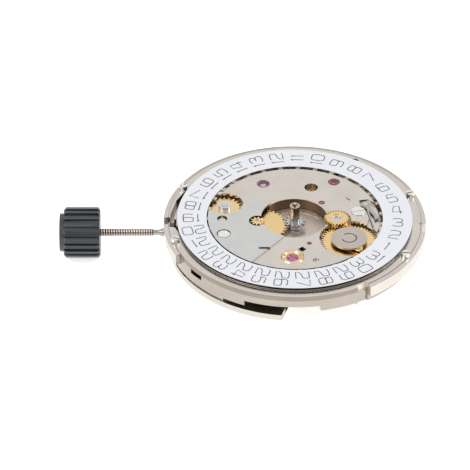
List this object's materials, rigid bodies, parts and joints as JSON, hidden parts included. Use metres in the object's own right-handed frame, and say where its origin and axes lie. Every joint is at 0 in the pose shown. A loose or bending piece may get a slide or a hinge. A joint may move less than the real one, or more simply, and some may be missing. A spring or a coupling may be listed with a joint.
{
  "type": "automatic watch movement",
  "caption": "Self-winding mechanical watch movement with a date ring, shown dial side up, with its winding stem and a ribbed setting knob.",
  "frame": {"origin": "on the hand axis, in the plane that the dial rests on", "axes": "+Z out of the dial side along the hand axis, +X away from the winding stem, which runs along -X"},
  "size_m": [0.0363, 0.0255, 0.006],
  "materials": {
    "nickel_plate": "satin",
    "polished_steel": "polished",
    "gilt_brass": "satin",
    "ruby": "polished",
    "date_print": "matt",
    "knob_plastic": "matt"
  },
  "bodies": {
    "frame": {"main_plate": "nickel_plate", "date_cover_plate": "nickel_plate", "dial_seat_screws": "polished_steel", "dial_side_screws": "polished_steel", "cannon_spring": "polished_steel", "dial_side_jewels": "ruby", "lower_shock_setting": "gilt_brass", "setting_lever_jumper": "polished_steel", "pallet_cock": "nickel_plate", "hairspring": "polished_steel", "hairspring_stud": "polished_steel", "balance_cock": "nickel_plate", "cock_shock_setting": "gilt_brass", "train_bridge": "nickel_plate", "barrel_bridge": "nickel_plate", "bridge_side_jewels": "ruby", "bridge_screws": "polished_steel", "automatic_bridge": "nickel_plate", "rotor_bearing": "polished_steel"},
    "date_ring": {"date_ring": "date_print"},
    "date_jumper": {"date_jumper": "polished_steel"},
    "date_drive": {"date_driving_wheel": "gilt_brass", "date_finger_disc": "polished_steel"},
    "intermediate_date": {"intermediate_date_wheel": "gilt_brass"},
    "centre": {"centre_wheel": "gilt_brass", "cannon_pinion": "polished_steel"},
    "minute_works": {"minute_wheel": "gilt_brass"},
    "setting": {"setting_wheel": "gilt_brass"},
    "intermediate_setting": {"intermediate_setting_wheel": "polished_steel"},
    "lever": {"setting_lever": "polished_steel"},
    "yoke": {"yoke": "polished_steel"},
    "stem": {"winding_stem": "polished_steel", "setting_knob": "knob_plastic"},
    "sliding": {"sliding_pinion": "polished_steel"},
    "winding": {"winding_pinion": "polished_steel"},
    "barrel": {"barrel_drum": "gilt_brass", "barrel_cover": "gilt_brass", "mainspring": "polished_steel"},
    "ratchet": {"barrel_arbor": "polished_steel", "ratchet_wheel": "polished_steel", "ratchet_screw": "polished_steel"},
    "third": {"third_wheel": "gilt_brass"},
    "seconds": {"seconds_wheel": "gilt_brass"},
    "escape": {"escape_wheel": "polished_steel"},
    "pallet": {"pallet_fork": "polished_steel", "pallet_stones": "ruby"},
    "balance": {"balance_wheel": "gilt_brass", "balance_staff": "polished_steel", "impulse_jewel": "ruby"},
    "regulator": {"regulator": "polished_steel"},
    "crown": {"crown_wheel": "polished_steel"},
    "click": {"click": "polished_steel"},
    "reduction": {"reduction_wheel": "gilt_brass"},
    "reverser_a": {"reversing_wheel_a": "gilt_brass"},
    "reverser_b": {"reversing_wheel_b": "gilt_brass"},
    "reverser_pinion_a": {"reversing_pinion_a": "polished_steel"},
    "reverser_pinion_b": {"reversing_pinion_b": "polished_steel"},
    "rotor": {"rotor_weight": "nickel_plate", "rotor_web": "nickel_plate", "rotor_gear": "polished_steel"}
  },
  "joints": [
    {"name": "seconds_turn", "type": "hinge", "parent": "frame", "child": "seconds", "pos_m": [0, 0, 0], "axis": [0, 0, 1], "continuous": true},
    {"name": "escape_turn", "type": "hinge", "parent": "frame", "child": "escape", "pos_m": [0.00285, -0.00237, 0], "axis": [0, 0, 1], "continuous": true},
    {"name": "third_turn", "type": "hinge", "parent": "frame", "child": "third", "pos_m": [0.00273, 0.00261, 0], "axis": [0, 0, 1], "continuous": true},
    {"name": "centre_turn", "type": "hinge", "parent": "frame", "child": "centre", "pos_m": [0, 0, 0], "axis": [0, 0, 1], "continuous": true},
    {"name": "barrel_turn", "type": "hinge", "parent": "frame", "child": "barrel", "pos_m": [-0.00307, 0.00584, 0], "axis": [0, 0, 1], "continuous": true},
    {"name": "minute_works_turn", "type": "hinge", "parent": "frame", "child": "minute_works", "pos_m": [-0.00368, -0.00064, 0], "axis": [0, 0, 1], "continuous": true},
    {"name": "setting_turn", "type": "hinge", "parent": "frame", "child": "setting", "pos_m": [-0.00695, 0.00235, 0], "axis": [0, 0, 1], "continuous": true},
    {"name": "intermediate_setting_turn", "type": "hinge", "parent": "frame", "child": "intermediate_setting", "pos_m": [-0.00717, -0.00028, 0], "axis": [0, 0, 1], "continuous": true},
    {"name": "date_drive_turn", "type": "hinge", "parent": "frame", "child": "date_drive", "pos_m": [0.0053, -0.00335, 0], "axis": [0, 0, 1], "continuous": true},
    {"name": "intermediate_date_turn", "type": "hinge", "parent": "frame", "child": "intermediate_date", "pos_m": [0.00419, -0.00015, 0], "axis": [0, 0, 1], "continuous": true},
    {"name": "date_ring_turn", "type": "hinge", "parent": "frame", "child": "date_ring", "pos_m": [0, 0, 0], "axis": [0, 0, 1], "continuous": true},
    {"name": "ratchet_turn", "type": "hinge", "parent": "frame", "child": "ratchet", "pos_m": [-0.00307, 0.00584, 0], "axis": [0, 0, 1], "continuous": true},
    {"name": "crown_turn", "type": "hinge", "parent": "frame", "child": "crown", "pos_m": [-0.007, 0, 0], "axis": [0, 0, 1], "continuous": true},
    {"name": "winding_pinion_turn", "type": "hinge", "parent": "frame", "child": "winding", "pos_m": [-0.0105, 0, -0.00195], "axis": [1, 0, 0], "continuous": true},
    {"name": "reduction_turn", "type": "hinge", "parent": "frame", "child": "reduction", "pos_m": [0.00402, 0.00616, 0], "axis": [0, 0, 1], "continuous": true},
    {"name": "reverser_pinion_a_turn", "type": "hinge", "parent": "frame", "child": "reverser_pinion_a", "pos_m": [0.00104, 0.0034, 0], "axis": [0, 0, 1], "continuous": true},
    {"name": "reverser_pinion_b_turn", "type": "hinge", "parent": "frame", "child": "reverser_pinion_b", "pos_m": [0.00364, 0.00211, 0], "axis": [0, 0, 1], "continuous": true},
    {"name": "rotor_turn", "type": "hinge", "parent": "frame", "child": "rotor", "pos_m": [0, 0, 0], "axis": [0, 0, 1], "continuous": true},
    {"name": "reverser_a_turn", "type": "hinge", "parent": "frame", "child": "reverser_a", "pos_m": [0.00104, 0.0034, 0], "axis": [0, 0, 1], "continuous": true},
    {"name": "reverser_b_turn", "type": "hinge", "parent": "frame", "child": "reverser_b", "pos_m": [0.00364, 0.00211, 0], "axis": [0, 0, 1], "continuous": true},
    {"name": "stem_pull", "type": "slide", "parent": "winding", "child": "stem", "axis": [-1, 0, 0], "range_m": [0, 0.00075]},
    {"name": "sliding_pinion_shift", "type": "slide", "parent": "winding", "child": "sliding", "axis": [1, 0, 0], "range_m": [0, 0.00035]},
    {"name": "setting_lever_turn", "type": "hinge", "parent": "frame", "child": "lever", "pos_m": [-0.01115, 0.0023, 0], "axis": [0, 0, 1], "range_deg": [-18.7, 0]},
    {"name": "yoke_turn", "type": "hinge", "parent": "frame", "child": "yoke", "pos_m": [-0.0091, -0.0032, 0], "axis": [0, 0, 1], "range_deg": [-6.4, 0]},
    {"name": "pallet_rock", "type": "hinge", "parent": "frame", "child": "pallet", "pos_m": [0.00137, -0.00418, 0], "axis": [0, 0, 1], "range_deg": [-5, 5]},
    {"name": "balance_swing", "type": "hinge", "parent": "frame", "child": "balance", "pos_m": [-0.0003, -0.0064, 0], "axis": [0, 0, 1], "range_deg": [-270, 270]},
    {"name": "date_jumper_lift", "type": "hinge", "parent": "frame", "child": "date_jumper", "pos_m": [0.0071, 0.0024, 0], "axis": [0, 0, 1], "range_deg": [0, 4]},
    {"name": "click_lift", "type": "hinge", "parent": "frame", "child": "click", "pos_m": [-0.0072, 0.0074, 0], "axis": [0, 0, 1], "range_deg": [0, 5]},
    {"name": "regulator_shift", "type": "hinge", "parent": "frame", "child": "regulator", "pos_m": [-0.0003, -0.0064, 0], "axis": [0, 0, 1], "range_deg": [-8, 8]}
  ],
  "couplings": [
    {"joint": "escape_turn", "follows": "seconds_turn", "ratio": -12},
    {"joint": "third_turn", "follows": "seconds_turn", "ratio": -0.13333},
    {"joint": "centre_turn", "follows": "seconds_turn", "ratio": 0.016667},
    {"joint": "barrel_turn", "follows": "seconds_turn", "ratio": -0.0033333},
    {"joint": "minute_works_turn", "follows": "seconds_turn", "ratio": -0.0055556},
    {"joint": "setting_turn", "follows": "seconds_turn", "ratio": 0.0095238},
    {"joint": "intermediate_setting_turn", "follows": "seconds_turn", "ratio": -0.015385},
    {"joint": "intermediate_date_turn", "follows": "date_drive_turn", "ratio": -3.4286},
    {"joint": "date_ring_turn", "follows": "date_drive_turn", "ratio": 0.032258},
    {"joint": "crown_turn", "follows": "ratchet_turn", "ratio": -1.05},
    {"joint": "winding_pinion_turn", "follows": "ratchet_turn", "ratio": 4.5},
    {"joint": "reduction_turn", "follows": "ratchet_turn", "ratio": -1.0328},
    {"joint": "reverser_pinion_a_turn", "follows": "ratchet_turn", "ratio": 6.3},
    {"joint": "reverser_pinion_b_turn", "follows": "ratchet_turn", "ratio": 6.3},
    {"joint": "reverser_a_turn", "follows": "rotor_turn", "ratio": -1.4483},
    {"joint": "reverser_b_turn", "follows": "rotor_turn", "ratio": 1.4483},
    {"joint": "sliding_pinion_shift", "follows": "stem_pull", "ratio": 0.46667},
    {"joint": "setting_lever_turn", "follows": "stem_pull", "rad_per_m": -432.84},
    {"joint": "yoke_turn", "follows": "stem_pull", "rad_per_m": -146.13}
  ]
}
